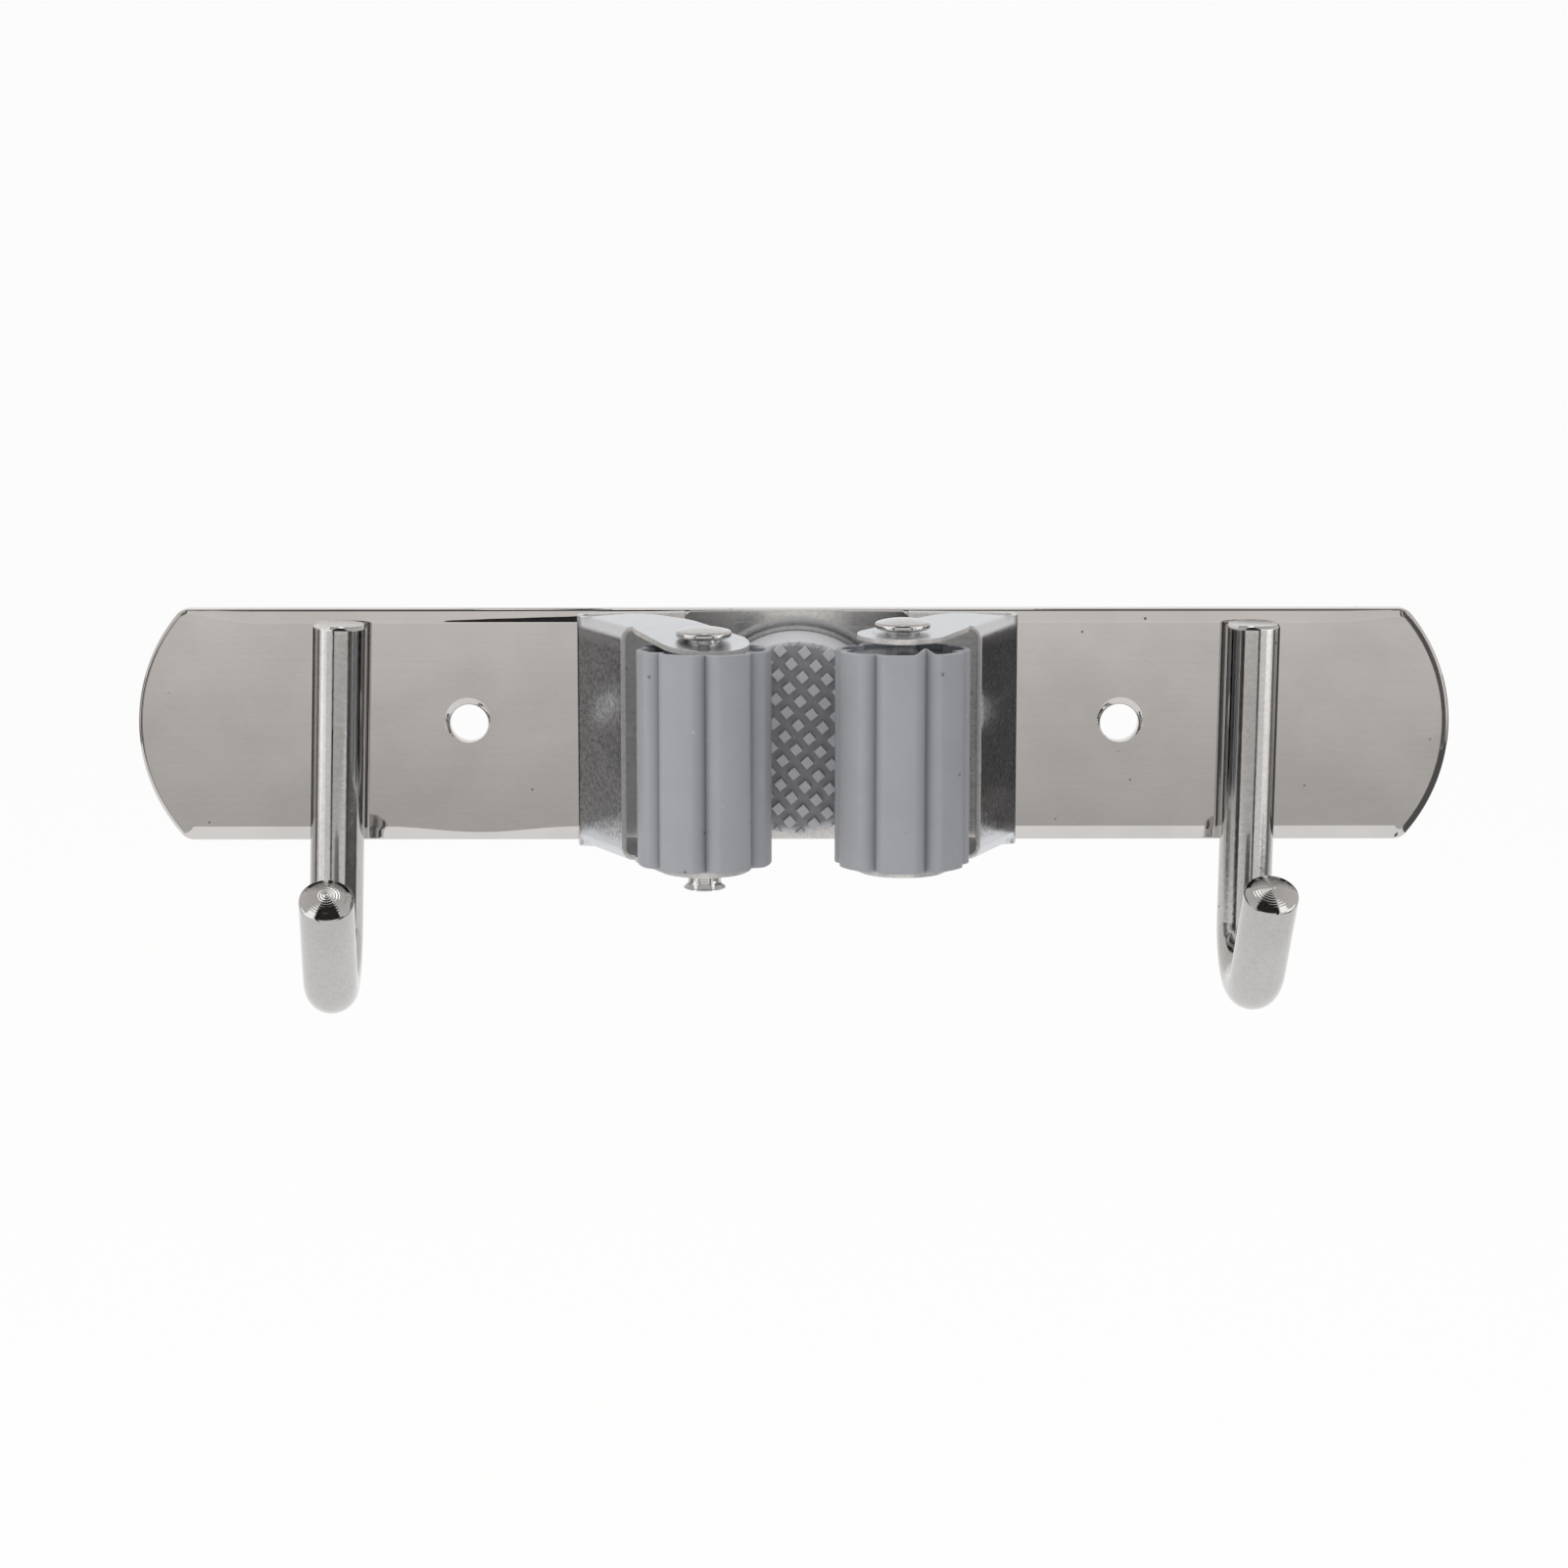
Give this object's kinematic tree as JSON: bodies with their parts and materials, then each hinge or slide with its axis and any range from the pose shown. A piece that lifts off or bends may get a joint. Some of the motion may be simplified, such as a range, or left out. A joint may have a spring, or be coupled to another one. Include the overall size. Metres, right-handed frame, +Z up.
{
  "type": "wall mop holder rack",
  "caption": "Polished steel wall plate with rod hooks and a sprung clip whose ribbed rubber rollers grip a broom or mop handle against a studded rubber pad.",
  "frame": {"origin": "midway between the two screw holes, on the wall plane that the plate's turned-back rim and the screw collars rest on", "axes": "+Y into the wall, +Z up, +X to the right as seen from the front"},
  "size_m": [0.25, 0.0465, 0.0773],
  "materials": {
    "plate_steel": "mirror-polished stainless sheet",
    "rod_steel": "polished stainless rod",
    "weld_steel": "bare weld metal",
    "spring_steel": "polished spring strip with a faint mottle",
    "rivet_steel": "bright rivet steel",
    "pad_rubber": "satin grey rubber",
    "roller_rubber": "satin blue-grey rubber"
  },
  "bodies": {
    "rack": {"back_plate": "plate_steel", "hook_left": "rod_steel", "hook_right": "rod_steel", "hook_welds": "weld_steel", "clip_base": "spring_steel", "clip_rivets": "rivet_steel", "grip_pad": "pad_rubber"},
    "left_arm": {"clip_arm_left": "spring_steel", "roller_pin_left": "rivet_steel"},
    "right_arm": {"clip_arm_right": "spring_steel", "roller_pin_right": "rivet_steel"},
    "left_roller": {"roller_left": "roller_rubber"},
    "right_roller": {"roller_right": "roller_rubber"}
  },
  "joints": [
    {"name": "left_arm_spread", "type": "hinge", "parent": "rack", "child": "left_arm", "pos_m": [-0.0216, -0.00536, 0], "axis": [0, 0, -1], "range_deg": [0, 13], "stiffness_Nm_per_rad": 3},
    {"name": "right_arm_spread", "type": "hinge", "parent": "rack", "child": "right_arm", "pos_m": [0.0224, -0.00536, 0], "axis": [0, 0, 1], "range_deg": [0, 9], "stiffness_Nm_per_rad": 3},
    {"name": "left_roller_spin", "type": "hinge", "parent": "left_arm", "child": "left_roller", "pos_m": [-0.01677, -0.03385, 0], "axis": [0, 0, 1], "continuous": true},
    {"name": "right_roller_spin", "type": "hinge", "parent": "right_arm", "child": "right_roller", "pos_m": [0.01957, -0.03412, 0], "axis": [0, 0, 1], "continuous": true}
  ]
}
